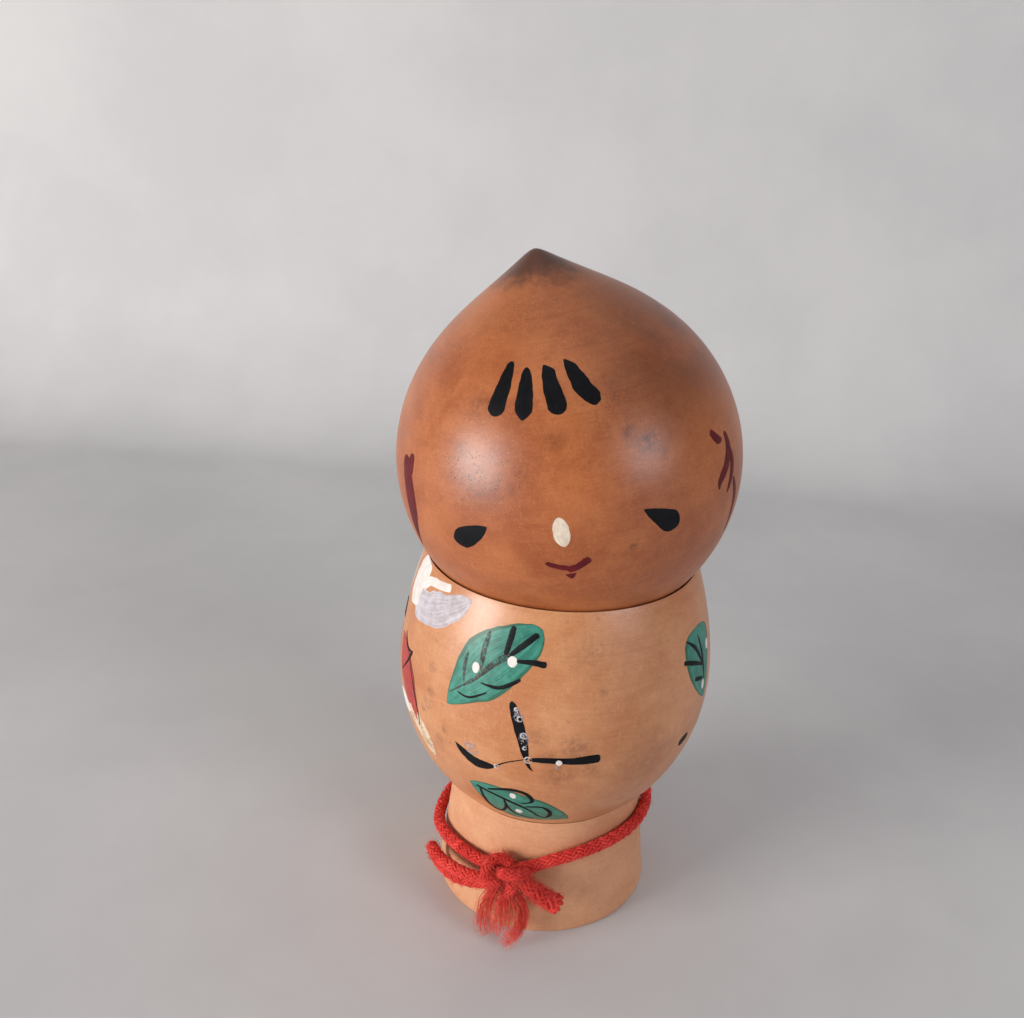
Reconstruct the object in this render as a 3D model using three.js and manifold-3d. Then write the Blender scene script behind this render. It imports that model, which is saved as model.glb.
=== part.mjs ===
// Chestnut-headed kokeshi doll: a turned pedestal, a turned ball body and a turned head, joined by dowels,
// with a red cord tied round the pedestal in a half bow.
// Millimetres, +Z up. The origin is the centre of the pedestal's foot and the doll's face looks along -Y.
import * as THREE from "three";
import { mergeVertices } from "three/addons/utils/BufferGeometryUtils.js";
import Module from "manifold-3d";

// --- driving dimensions ---

const GAP = 0.3; // clearance between neighbouring pieces
const ROUND_STEPS = 48; // facets round a turned piece
const ARC_STEPS = 14; // facets along a turned outline

const FOOT_RADIUS = 20;
const FOOT_CHAMFER = 0.5;
const PEDESTAL_TOP_RADIUS = 17.5;
const PEDESTAL_HEIGHT = 23; // to the rim that the ball sits in

const BALL_RADIUS = 28;
const BALL_WAIST_HEIGHT = 47; // height of the ball's widest circle
const BALL_LOWER_DEPTH = 31; // half-height of the ellipse below the widest circle
const BALL_UPPER_DEPTH = 48; // half-height of the fuller curve above it
const BALL_UPPER_POWER = 1.7;
const BALL_RIM_HEIGHT = 69; // the turned blank's top, before the dish for the head is cut to a sharp rim

const HEAD_RADIUS = 28.9;
const HEAD_CENTRE_HEIGHT = 85.8;
const HEAD_TIP_RISE = 6.7; // how far the chestnut tip would stand above the sphere if it were sharp
const HEAD_TIP_SPREAD = 0.24; // radians over which the tip runs out into the sphere
const HEAD_TIP_ROUND = 0.03; // radians rounded off at the very tip
const HEAD_COCK = THREE.MathUtils.degToRad(13); // the head's own axis leans to the doll's right

const DOWEL_RADIUS = 4;
const DOWEL_CHAMFER = 0.6;
const DOWEL_IN_BALL = 12;
const DOWEL_IN_HEAD = 15;
const DOWEL_IN_PEDESTAL = 10;

const CORD_RADIUS = 1.25;
const CORD_SIDES = 8;
const KNOT = { azimuth: -16, height: 13.6, slack: 2.2, half: new THREE.Vector3(4.6, 3.2, 3.8) };
const STUB_RADIUS = 1.6;
const TUFT_HALF_WIDTH = 3.2;
const TUFT_HALF_DEPTH = 1.1;

// Cord routes: [azimuth in degrees from the face's side towards the doll's left, height, slack off the wood].
const RING_ROUTE = [
  [-16, 14.0, 0.9],
  [-5, 15.1, 0.5],
  [5, 16.2, 0.1],
  [15, 17.0, 0],
  [27, 17.8, 0],
  [40, 18.1, 0],
  [54, 18.4, 0],
  [68, 18.6, 0],
  [84, 18.8, 0],
  [100, 18.8, 0],
  [116, 18.6, 0],
  [132, 18.2, 0],
  [148, 17.6, 0],
  [164, 16.9, 0],
  [180, 16.2, 0],
  [196, 15.5, 0],
  [212, 14.8, 0],
  [228, 14.2, 0.1],
  [244, 13.8, 0.2],
  [258, 13.4, 0.5],
  [270, 13.1, 0.7],
  [281, 12.8, 0.7],
  [292, 12.6, 0.5],
  [303, 12.5, 0.3],
  [314, 12.6, 0.3],
  [325, 12.8, 0.5],
  [335, 13.2, 0.7],
  [344, 13.6, 0.9],
];
const BOW_ROUTE = [
  [-18, 11.9, 2.3],
  [-26, 11.0, 2.4],
  [-33, 10.4, 2.5],
  [-42, 9.7, 2.6],
  [-51, 9.2, 2.7],
  [-59, 9.1, 2.7],
  [-65, 8.9, 2.4],
  [-68, 7.8, 2.0],
  [-68, 6.2, 1.5],
  [-64, 5.0, 1.0],
  [-57, 4.6, 0.6],
  [-49, 5.0, 0.4],
  [-41, 6.0, 0.4],
  [-33, 7.4, 0.5],
  [-26, 9.0, 0.8],
  [-18, 11.0, 1.4],
];
const STUB_ROUTE = [
  [-14, 14.6, 2.4],
  [-8, 13.4, 2.6],
  [-2, 11.9, 2.6],
  [4, 10.2, 2.4],
  [9, 8.6, 2.2],
];
const TUFT_ROUTE = [
  [-15, 10.2, 3.4],
  [-16, 8.0, 3.2],
  [-16, 5.5, 2.8],
  [-15, 3.2, 2.6],
  [-14, 1.5, 3.2],
];

// --- materials ---

const finish = (color, roughness) => new THREE.MeshStandardMaterial({ color, roughness, metalness: 0 });
const HEAD_WOOD = finish("#a8663a", 0.42);
const BODY_WOOD = finish("#c98f62", 0.5);
const PEDESTAL_WOOD = finish("#e0b48c", 0.7);
const DOWEL_WOOD = finish("#d8b98f", 0.7);
const RED_CORD = finish("#c3202a", 0.8);

// --- solids ---

const wasm = await Module();
wasm.setup();

function solid(geometry) {
  const bare = geometry.clone();
  bare.deleteAttribute("normal");
  bare.deleteAttribute("uv");
  const merged = mergeVertices(bare, 1e-4);
  return new wasm.Manifold(
    new wasm.Mesh({
      numProp: 3,
      vertProperties: new Float32Array(merged.attributes.position.array),
      triVerts: new Uint32Array(merged.index.array),
    }),
  );
}

function geometryOf(manifold) {
  const mesh = manifold.getMesh();
  const geometry = new THREE.BufferGeometry();
  geometry.setAttribute("position", new THREE.BufferAttribute(mesh.vertProperties, 3));
  geometry.setIndex(new THREE.BufferAttribute(mesh.triVerts, 1));
  geometry.computeVertexNormals();
  return geometry;
}

// A turned piece, from outline points [radius, height] that run upwards and start and end on the axis.
function turned(outline, steps = ROUND_STEPS) {
  const profile = outline.map(([radius, height]) => new THREE.Vector2(radius, height));
  return new THREE.LatheGeometry(profile, steps).rotateX(Math.PI / 2);
}

function rod(radius, bottom, top, chamfer = 0) {
  const shoulder = radius - chamfer;
  const outline = [
    [0, bottom],
    [shoulder, bottom],
    [radius, bottom + chamfer],
    [radius, top - chamfer],
    [shoulder, top],
    [0, top],
  ];
  return turned(chamfer ? outline : outline.filter((_, i) => i !== 1 && i !== 4), 32);
}

function ballRadius(height) {
  const above = height > BALL_WAIST_HEIGHT;
  const depth = above ? BALL_UPPER_DEPTH : BALL_LOWER_DEPTH;
  const power = above ? BALL_UPPER_POWER : 2;
  const rise = Math.min(1, Math.abs(height - BALL_WAIST_HEIGHT) / depth);
  return BALL_RADIUS * (1 - rise ** power) ** (1 / power);
}

// The ball's outline from its bottom pole to the rim, swollen by `extra` all over.
function ballOutline(extra = 0) {
  const bottom = BALL_WAIST_HEIGHT - BALL_LOWER_DEPTH;
  const points = [[0, bottom - extra]];
  for (let i = 1; i <= ARC_STEPS; i++) {
    const angle = (Math.PI / 2) * (i / ARC_STEPS);
    points.push([
      (BALL_RADIUS + extra) * Math.sin(angle),
      BALL_WAIST_HEIGHT - (BALL_LOWER_DEPTH + extra) * Math.cos(angle),
    ]);
  }
  const upperSteps = ARC_STEPS / 2;
  for (let i = 1; i <= upperSteps; i++) {
    const height = THREE.MathUtils.lerp(BALL_WAIST_HEIGHT, BALL_RIM_HEIGHT, i / upperSteps);
    points.push([ballRadius(height) + extra, height]);
  }
  points.push([0, BALL_RIM_HEIGHT]);
  return points;
}

// Distance from the head's centre to its surface, at an angle from the tip.
function headReach(angle) {
  const blunt = Math.sqrt(angle * angle + HEAD_TIP_ROUND * HEAD_TIP_ROUND);
  return HEAD_RADIUS + HEAD_TIP_RISE * Math.exp(-blunt / HEAD_TIP_SPREAD);
}

function headOutline() {
  const points = [];
  const steps = 2 * ARC_STEPS;
  for (let i = 0; i <= steps; i++) {
    const fromTip = Math.PI * (1 - i / steps) ** 1.4; // steps crowd towards the tip, where the outline bends most
    points.push([headReach(fromTip) * Math.sin(fromTip), headReach(fromTip) * Math.cos(fromTip)]);
  }
  points[0][0] = 0;
  points[steps][0] = 0;
  return points;
}

// --- wooden pieces ---

const HEAD_BOTTOM = HEAD_CENTRE_HEIGHT - HEAD_RADIUS;
const DISH_BOTTOM = HEAD_BOTTOM - GAP;
const BALL_BOTTOM = BALL_WAIST_HEIGHT - BALL_LOWER_DEPTH;
const HOLE_RADIUS = DOWEL_RADIUS + GAP;

const NECK_DOWEL = { bottom: DISH_BOTTOM - DOWEL_IN_BALL, top: HEAD_BOTTOM + DOWEL_IN_HEAD };
const BASE_DOWEL = { bottom: BALL_BOTTOM - DOWEL_IN_PEDESTAL, top: BALL_BOTTOM + DOWEL_IN_BALL };

function hole({ bottom, top }) {
  return solid(rod(HOLE_RADIUS, bottom - GAP, top + GAP));
}

function headGeometry() {
  const leaning = turned(headOutline()).rotateY(-HEAD_COCK).translate(0, 0, HEAD_CENTRE_HEIGHT);
  return geometryOf(solid(leaning).subtract(hole(NECK_DOWEL)));
}

function ballGeometry() {
  const dish = new THREE.SphereGeometry(HEAD_RADIUS + GAP, ROUND_STEPS, ARC_STEPS * 2)
    .rotateX(Math.PI / 2)
    .translate(0, 0, HEAD_CENTRE_HEIGHT);
  return geometryOf(
    solid(turned(ballOutline())).subtract(solid(dish)).subtract(hole(NECK_DOWEL)).subtract(hole(BASE_DOWEL)),
  );
}

function pedestalGeometry() {
  const blank = turned([
    [0, 0],
    [FOOT_RADIUS - FOOT_CHAMFER, 0],
    [FOOT_RADIUS, FOOT_CHAMFER],
    [PEDESTAL_TOP_RADIUS, PEDESTAL_HEIGHT],
    [0, PEDESTAL_HEIGHT],
  ]);
  return geometryOf(solid(blank).subtract(solid(turned(ballOutline(GAP)))).subtract(hole(BASE_DOWEL)));
}

const dowelGeometry = ({ bottom, top }) => rod(DOWEL_RADIUS, bottom, top, DOWEL_CHAMFER);

// --- cord ---

function pedestalRadius(height) {
  return THREE.MathUtils.lerp(FOOT_RADIUS, PEDESTAL_TOP_RADIUS, height / PEDESTAL_HEIGHT);
}

function besidePedestal([azimuth, height, slack]) {
  const angle = THREE.MathUtils.degToRad(azimuth);
  const radius = pedestalRadius(height) + GAP + CORD_RADIUS + slack;
  return new THREE.Vector3(radius * Math.sin(angle), -radius * Math.cos(angle), height);
}

const routeCurve = (route) => new THREE.CatmullRomCurve3(route.map(besidePedestal), false, "centripetal");

function knotGeometry(extra = 0) {
  const { azimuth, height, slack, half } = KNOT;
  return new THREE.SphereGeometry(1, 16, 12)
    .scale(half.x + extra, half.y + extra, half.z + extra)
    .rotateZ(THREE.MathUtils.degToRad(azimuth))
    .translate(...besidePedestal([azimuth, height, slack]).toArray());
}

// An upright or round section swept along a route, and cut clear of the knot and of the pieces given.
function corded(route, steps, halfWidth, halfDepth, ...clearOf) {
  const section = new THREE.Shape();
  for (let i = 0; i < CORD_SIDES; i++) {
    const turn = (2 * Math.PI * i) / CORD_SIDES;
    section[i ? "lineTo" : "moveTo"](halfDepth * Math.cos(turn), halfWidth * Math.sin(turn));
  }
  const tube = new THREE.ExtrudeGeometry(section, { steps, extrudePath: routeCurve(route) });
  return geometryOf(
    clearOf.reduce((left, other) => left.subtract(solid(other)), solid(tube).subtract(solid(knotGeometry(GAP)))),
  );
}

// --- the doll ---

const doll = new THREE.Group();

function place(name, geometry, material) {
  const piece = new THREE.Mesh(geometry, material);
  piece.name = name;
  doll.add(piece);
}

place("pedestal", pedestalGeometry(), PEDESTAL_WOOD);
place("base_dowel", dowelGeometry(BASE_DOWEL), DOWEL_WOOD);
place("ball_body", ballGeometry(), BODY_WOOD);
place("neck_dowel", dowelGeometry(NECK_DOWEL), DOWEL_WOOD);
place("head", headGeometry(), HEAD_WOOD);
place("cord_knot", knotGeometry(), RED_CORD);
place("cord_ring", corded(RING_ROUTE, 44, CORD_RADIUS, CORD_RADIUS), RED_CORD);
place("cord_bow", corded(BOW_ROUTE, 26, CORD_RADIUS, CORD_RADIUS), RED_CORD);
const bowRoom = corded(BOW_ROUTE, 26, CORD_RADIUS + GAP, CORD_RADIUS + GAP);
place("cord_end_cut", corded(STUB_ROUTE, 5, STUB_RADIUS, STUB_RADIUS), RED_CORD);
place("cord_end_frayed", corded(TUFT_ROUTE, 6, TUFT_HALF_WIDTH, TUFT_HALF_DEPTH, bowRoom), RED_CORD);

export default doll;
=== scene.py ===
import math

import bpy
import numpy as np
from mathutils import Matrix, Vector


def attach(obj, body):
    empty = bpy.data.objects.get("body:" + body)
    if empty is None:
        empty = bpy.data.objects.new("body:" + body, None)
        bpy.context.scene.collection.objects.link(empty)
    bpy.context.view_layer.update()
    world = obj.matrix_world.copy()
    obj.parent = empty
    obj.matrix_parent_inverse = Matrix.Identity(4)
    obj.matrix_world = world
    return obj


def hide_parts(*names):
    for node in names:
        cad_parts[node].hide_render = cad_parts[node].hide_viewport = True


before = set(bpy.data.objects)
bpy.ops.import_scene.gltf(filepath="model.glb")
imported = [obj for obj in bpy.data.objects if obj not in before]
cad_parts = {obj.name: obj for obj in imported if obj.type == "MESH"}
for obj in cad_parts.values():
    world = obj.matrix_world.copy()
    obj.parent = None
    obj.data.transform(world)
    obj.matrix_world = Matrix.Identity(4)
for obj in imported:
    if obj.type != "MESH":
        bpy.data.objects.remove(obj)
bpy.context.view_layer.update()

# A small kokeshi doll: a turned pedestal, a painted ball and a chestnut-tipped head, with a red braided cord
# tied round the pedestal in a half bow.
# Lengths are metres. The face looks along -Y, and an azimuth runs from there towards the doll's left, +X.

MM = 0.001
GAP = 0.3 * MM

FOOT_RADIUS = 20 * MM
FOOT_ROUND = 0.7 * MM
PEDESTAL_TOP_RADIUS = 17.5 * MM
PEDESTAL_HEIGHT = 23 * MM

BALL_RADIUS = 28 * MM
BALL_WAIST = 47 * MM
BALL_LOWER_DEPTH = 31 * MM
BALL_UPPER_DEPTH = 48 * MM
BALL_UPPER_POWER = 1.7

HEAD_RADIUS = 28.9 * MM
HEAD_CENTRE = Vector((0, 0, 85.8 * MM))
HEAD_TIP_RISE = 6.7 * MM
HEAD_TIP_SPREAD = 0.24
HEAD_TIP_ROUND = 0.03
HEAD_COCK = math.radians(13)

HOLE_RADIUS = 4.3 * MM
PEDESTAL_HOLE_DEPTH = 10.3 * MM
BALL_HOLE_DEPTH = 12.3 * MM
HEAD_HOLE_DEPTH = 15.3 * MM

CORD_CLEARANCE = 0.05 * MM
BRAID_RADIUS = 1.15 * MM
BRAID_PITCH = 9 * MM
BRAID_STEP = 0.3 * MM
BRAID_CARRIERS = 8
# Parts of a braid's radius: where its yarns run, how far they weave in and out, and how thick they are.
YARN_PLACE = 0.71
YARN_WEAVE = 0.09
YARN_RADIUS = 0.215
CORE_RADIUS = 0.62

# Cord routes, as in the frame: [azimuth in degrees, height and slack off the wood in millimetres].
RING_ROUTE = [
    (-16, 14.0, 0.9), (-5, 15.1, 0.5), (5, 16.2, 0.1), (15, 17.0, 0), (27, 17.7, 0), (40, 18.0, 0),
    (54, 18.1, 0), (68, 18.0, 0), (84, 17.8, 0), (100, 17.7, 0), (116, 17.4, 0), (132, 16.9, 0),
    (148, 16.2, 0), (164, 15.4, 0), (180, 14.7, 0), (196, 14.0, 0), (212, 12.9, 0), (228, 11.8, 0),
    (244, 10.8, 0), (258, 10.3, 0.1), (270, 10.4, 0.2), (281, 10.9, 0.3), (292, 11.8, 0.3),
    (303, 12.5, 0.3), (314, 12.9, 0.3), (325, 13.2, 0.4), (335, 13.5, 0.6), (344, 13.8, 0.9),
]
BOW_ROUTE = [
    (-18, 12.2, 2.3), (-26, 11.7, 2.4), (-33, 11.2, 2.5), (-42, 10.6, 2.6), (-51, 10.1, 2.7), (-59, 9.7, 2.7),
    (-65, 9.1, 2.4), (-68, 8.0, 2.0), (-68, 6.9, 1.5), (-64, 6.1, 1.0), (-57, 5.9, 0.6), (-49, 6.3, 0.4),
    (-41, 7.3, 0.4), (-33, 8.5, 0.5), (-26, 9.7, 0.8), (-18, 11.1, 1.4),
]
STUB_ROUTE = [(-14, 14.2, 2.2), (-8, 13.4, 2.6), (-2, 11.9, 2.6), (4, 10.2, 2.4), (9, 8.9, 2.2)]
KNOT_AZIMUTH = -16
KNOT_HEIGHT = 13.6
KNOT_SLACK = 2.2
# The opened yarns of the frayed end, with the fibres in each and how far they spread.
TUFT_YARNS = [
    [(-18, 12.4, 3.2), (-20.5, 10.3, 3.0), (-23, 7.6, 2.7), (-24, 5.0, 2.5), (-23, 2.8, 2.9),
     (-19, 1.2, 3.8)],
    [(-15, 11.5, 3.6), (-16, 8.6, 3.4), (-17.5, 6.2, 3.1), (-18, 3.4, 3.1), (-17, 1.4, 3.8)],
    [(-10, 12.0, 3.4), (-7, 9.4, 3.0), (-5.8, 6.8, 2.7), (-7.5, 4.0, 3.0), (-11.5, 1.7, 3.8),
     (-15, 0.8, 4.8)],
    [(-14, 11.0, 3.4), (-13, 8.4, 3.2), (-13, 5.6, 3.0), (-14, 3.0, 3.4), (-16, 1.2, 4.2)],
]
YARN_FIBRES = (110, 60, 90, 60)
YARN_SPREADS = (1.25 * MM, 1.3 * MM, 0.8 * MM, 2.1 * MM)
FIBRE_RADIUS = 0.042 * MM
FIBRE_STEPS = 15
FIBRE_STRAY = 0.8


# --- camera ---

CAMERA_YAW = -0.016
CAMERA_DIP = 0.4116
CAMERA_ROLL = 0.078

bpy.ops.object.select_all(action="DESELECT")
bpy.ops.object.camera_add()
camera = bpy.context.object
camera.name = "camera"
camera.rotation_mode = "QUATERNION"
camera.location = (0, -0.1768, 0.1511)
camera.rotation_quaternion = (
    Matrix.Rotation(CAMERA_YAW, 3, "Z")
    @ Matrix.Rotation(math.pi / 2 - CAMERA_DIP, 3, "X")
    @ Matrix.Rotation(CAMERA_ROLL, 3, "Z")
).to_quaternion()
camera.data.sensor_width = 36
camera.data.lens = 39.2
camera.data.shift_x = -0.068
camera.data.shift_y = 0.0115
camera.data.clip_start = 0.01
bpy.context.scene.camera = camera


# --- tools for finishes ---

class Wire:
    """A socket in a finish's node tree, so that its sums are written as Python sums."""

    def __init__(self, finish, socket):
        self.finish, self.socket = finish, socket

    def sum(self, operation, first, second):
        return self.finish.node("Math", {"operation": operation}, {0: first, 1: second})

    def __add__(self, other):
        return self.sum("ADD", self, other)

    def __sub__(self, other):
        return self.sum("SUBTRACT", self, other)

    def __rsub__(self, other):
        return self.sum("SUBTRACT", other, self)

    def __mul__(self, other):
        return self.sum("MULTIPLY", self, other)

    __radd__, __rmul__ = __add__, __mul__

    def band(self, low, high):
        """0 below low and 1 above high, or the other way round when low is the larger."""
        flip = low > high
        low, high = sorted((low, high))
        inputs = {"Value": self, "From Min": low, "From Max": high}
        made = self.finish.node("MapRange", {"interpolation_type": "SMOOTHSTEP"}, inputs)
        return 1 - made if flip else made

    def least(self, other):
        return self.sum("MINIMUM", self, other)

    def most(self, other):
        return self.sum("MAXIMUM", self, other)


class Finish:
    """A node material with one Principled shader."""

    def __init__(self, name, **constants):
        self.material = bpy.data.materials.new(name)
        self.material.use_nodes = True
        self.tree = self.material.node_tree
        self.tree.nodes.clear()
        self.shader = self.tree.nodes.new("ShaderNodeBsdfPrincipled")
        output = self.tree.nodes.new("ShaderNodeOutputMaterial")
        self.tree.links.new(self.shader.outputs[0], output.inputs["Surface"])
        for key, value in constants.items():
            self.paint({key.replace("_", " ").title().replace("Ior", "IOR"): value})

    def feed(self, socket, value):
        if isinstance(value, Wire):
            self.tree.links.new(value.socket, socket)
        else:
            socket.default_value = value

    def node(self, kind, settings=None, inputs=None, output=0):
        made = self.tree.nodes.new("ShaderNode" + kind)
        for key, value in (settings or {}).items():
            setattr(made, key, value)
        for key, value in (inputs or {}).items():
            self.feed(made.inputs[key], value)
        return Wire(self, made.outputs[output])

    def paint(self, inputs):
        for key, value in inputs.items():
            self.feed(self.shader.inputs[key], value)

    def here(self):
        return self.node("TexCoord", output="Object")

    def along(self):
        return self.node("UVMap", {"uv_map": "UVMap"})

    def part(self, vector, axis):
        return self.node("SeparateXYZ", {}, {0: vector}, output=axis)

    def stretched(self, vector, scale):
        return self.node("VectorMath", {"operation": "MULTIPLY"}, {0: vector, 1: scale})

    def distance(self, vector, point):
        return self.node("VectorMath", {"operation": "DISTANCE"}, {0: vector, 1: point}, output="Value")

    def noise(self, vector, scale, detail, roughness, distortion=0.0):
        return self.node("TexNoise", {}, {
            "Vector": vector, "Scale": scale, "Detail": detail, "Roughness": roughness,
            "Distortion": distortion,
        })

    def cells(self, vector, scale):
        return self.node("TexVoronoi", {}, {"Vector": vector, "Scale": scale})

    def mix(self, factor, first, second):
        """The first color where factor is 0 and the second where it is 1."""
        settings = {"data_type": "RGBA", "clamp_factor": True}
        return self.node("Mix", settings, {0: factor, 6: first, 7: second}, output=2)

    def bump(self, height, depth, under=None):
        inputs = {"Height": height, "Strength": 1.0, "Distance": depth}
        if under is not None:
            inputs["Normal"] = under
        return self.node("Bump", {}, inputs)


def color(red, green, blue):
    """Screen values from 0 to 255 as the linear color that a socket takes."""
    linear = []
    for value in (red / 255, green / 255, blue / 255):
        linear.append(value / 12.92 if value <= 0.04045 else ((value + 0.055) / 1.055) ** 2.4)
    return (*linear, 1.0)


# --- surfaces of the turned wood ---

def ball_radius(height):
    """Half the ball's width at a height: half an ellipse below its waist and a fuller curve above."""
    above = height > BALL_WAIST
    depth = BALL_UPPER_DEPTH if above else BALL_LOWER_DEPTH
    power = BALL_UPPER_POWER if above else 2
    rise = min(1, abs(height - BALL_WAIST) / depth)
    return BALL_RADIUS * (1 - rise**power) ** (1 / power)


def head_reach(angle):
    """The head's surface from its middle, at an angle in radians from its tip."""
    blunt = math.sqrt(angle * angle + HEAD_TIP_ROUND**2)
    return HEAD_RADIUS + HEAD_TIP_RISE * math.exp(-blunt / HEAD_TIP_SPREAD)


def pedestal_radius(height):
    return FOOT_RADIUS + (PEDESTAL_TOP_RADIUS - FOOT_RADIUS) * height / PEDESTAL_HEIGHT


HEAD_TURN = Matrix.Rotation(-HEAD_COCK, 3, "Y")
HEAD_AXIS = HEAD_TURN @ Vector((0, 0, 1))


def on_head(longitude, latitude):
    """A point on the head, by its longitude and latitude about the head's own leaning axis, in degrees."""
    across, up = math.radians(longitude), math.radians(latitude)
    way = Vector((math.cos(up) * math.sin(across), -math.cos(up) * math.cos(across), math.sin(up)))
    return HEAD_CENTRE + HEAD_TURN @ way * head_reach(math.pi / 2 - up)


def drop_on_head(point, lift):
    """The place on the head below or above a point, raised by lift."""
    way = (point - HEAD_CENTRE).normalized()
    return HEAD_CENTRE + way * (head_reach(way.angle(HEAD_AXIS)) + lift)


def on_ball(longitude, height):
    """A point on the ball, by its azimuth in degrees and its height in millimetres."""
    across = math.radians(longitude)
    radius = ball_radius(height * MM)
    return Vector((radius * math.sin(across), -radius * math.cos(across), height * MM))


def drop_on_ball(point, lift):
    """The place on the ball beside a point at the same height, raised by lift."""
    flat = Vector((point.x, point.y, 0)).normalized()
    base = flat * ball_radius(point.z) + Vector((0, 0, point.z))
    return base + ball_normal(point) * lift


def ball_normal(point):
    step = 0.05 * MM
    slope = (ball_radius(point.z + step) - ball_radius(point.z - step)) / (2 * step)
    flat = Vector((point.x, point.y, 0)).normalized()
    return (flat - Vector((0, 0, slope))).normalized()


def head_normal(point):
    return (point - HEAD_CENTRE).normalized()


# What a brush stroke needs of a surface: a place on it, the place nearest a point, and its normal.
HEAD = (on_head, drop_on_head, head_normal)
BALL = (on_ball, drop_on_ball, ball_normal)


# --- cord ---

def beside_pedestal(azimuth, height, slack):
    """The middle of a cord beside the pedestal, which stands off the wood by slack, in millimetres."""
    angle = math.radians(azimuth)
    radius = pedestal_radius(height * MM) + BRAID_RADIUS + CORD_CLEARANCE + slack * MM
    return np.array((radius * math.sin(angle), -radius * math.cos(angle), height * MM))


def between(first, second, start, end, t):
    """The point at t on the line from first, at start, to second, at end."""
    return first + (second - first) * ((t - start) / (end - start))


def smooth_route(points, step):
    """A centripetal curve through the points, cut into steps of about that length."""
    points = np.array(points, float)
    ends = [2 * points[0] - points[1], *points, 2 * points[-1] - points[-2]]
    made = []
    for a, b, c, d in zip(ends, ends[1:], ends[2:], ends[3:]):
        reach = [max(np.linalg.norm(q - p), 1e-9) ** 0.5 for p, q in ((a, b), (b, c), (c, d))]
        k0, k1, k2, k3 = np.cumsum([0] + reach)
        for t in np.linspace(k1, k2, 16, endpoint=False):
            ab, bc, cd = between(a, b, k0, k1, t), between(b, c, k1, k2, t), between(c, d, k2, k3, t)
            made.append(between(between(ab, bc, k0, k2, t), between(bc, cd, k1, k3, t), k1, k2, t))
    made.append(points[-1])
    made = np.array(made)
    along = np.concatenate([[0], np.cumsum(np.linalg.norm(np.diff(made, axis=0), axis=1))])
    at = np.linspace(0, along[-1], max(3, round(along[-1] / step) + 1))
    return np.stack([np.interp(at, along, made[:, axis]) for axis in range(3)], axis=1)


def route_length(points):
    return float(np.linalg.norm(np.diff(points, axis=0), axis=1).sum())


def sides_of(points):
    """Two unit vectors across a line at each of its points, which turn with it as little as they can."""
    ahead = np.gradient(points, axis=0)
    ahead /= np.linalg.norm(ahead, axis=1)[:, None]
    start = np.cross(ahead[0], (0.0, 0.0, 1.0) if abs(ahead[0][2]) < 0.9 else (1.0, 0.0, 0.0))
    across = [start / np.linalg.norm(start)]
    for way in ahead[1:]:
        turned = across[-1] - way * (across[-1] @ way)
        across.append(turned / np.linalg.norm(turned))
    across = np.array(across)
    return across, np.cross(ahead, across)


def tubes(name, lines, radii, sides, finish):
    """One mesh of closed tubes. A tube's radius is a number or one number for each of its points."""
    verts, faces, coords = [], [], []
    turns = np.linspace(0, 2 * math.pi, sides, endpoint=False)
    for line, radius in zip(lines, radii):
        across, up = sides_of(line)
        radius = np.broadcast_to(radius, len(line))
        rings = line[:, None] + radius[:, None, None] * (
            across[:, None] * np.cos(turns)[:, None] + up[:, None] * np.sin(turns)[:, None]
        )
        base = len(verts)
        verts.extend(rings.reshape(-1, 3))
        along = np.concatenate([[0], np.cumsum(np.linalg.norm(np.diff(line, axis=0), axis=1))]) / MM
        for i in range(len(line) - 1):
            for k in range(sides):
                near, far = base + i * sides, base + (i + 1) * sides
                faces.append((near + k, near + (k + 1) % sides, far + (k + 1) % sides, far + k))
                u, w = along[i], along[i + 1]
                coords.extend([(u, k / sides), (u, (k + 1) / sides), (w, (k + 1) / sides), (w, k / sides)])
        for ring, u in ((list(range(base, base + sides))[::-1], along[0]),
                        (list(range(base + (len(line) - 1) * sides, base + len(line) * sides)), along[-1])):
            faces.append(tuple(ring))
            coords.extend([(u, k / sides) for k in range(sides)])
    mesh = bpy.data.meshes.new(name)
    mesh.from_pydata([tuple(v) for v in verts], [], faces)
    layer = mesh.uv_layers.new(name="UVMap")
    layer.data.foreach_set("uv", np.array(coords, np.float32).ravel())
    mesh.polygons.foreach_set("use_smooth", [True] * len(mesh.polygons))
    mesh.materials.append(finish.material)
    made = bpy.data.objects.new(name, mesh)
    bpy.context.scene.collection.objects.link(made)
    return made


def braided(name, route, radius, pitch, finish, swell=1.0):
    """A round braid about a route, whose yarns go over two and under two, and the core they hide."""
    across, up = sides_of(route)
    along = np.concatenate([[0], np.cumsum(np.linalg.norm(np.diff(route, axis=0), axis=1))])
    fat = swell * np.ones(len(route))
    lines, radii = [], []
    crossing = 2 * BRAID_CARRIERS * along / pitch
    for way in (1, -1):
        for k in range(BRAID_CARRIERS):
            turn = way * 2 * math.pi * along / pitch + 2 * math.pi * k / BRAID_CARRIERS
            over = way * np.cos(math.pi / 2 * (crossing - 0.5))
            reach = radius * fat * (YARN_PLACE + YARN_WEAVE * over)
            out = across * np.cos(turn)[:, None] + up * np.sin(turn)[:, None]
            lines.append(route + reach[:, None] * out)
            radii.append(radius * YARN_RADIUS * fat)
    lines.append(route)
    radii.append(radius * CORE_RADIUS * fat)
    return tubes(name, lines, radii, 5, finish)


knot_centre = beside_pedestal(KNOT_AZIMUTH, KNOT_HEIGHT, KNOT_SLACK)
# The point inside the knot towards which the braid is darkened as painted shade.
knot_core = knot_centre + np.array((0.9 * MM, 0, -1.6 * MM))


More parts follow.
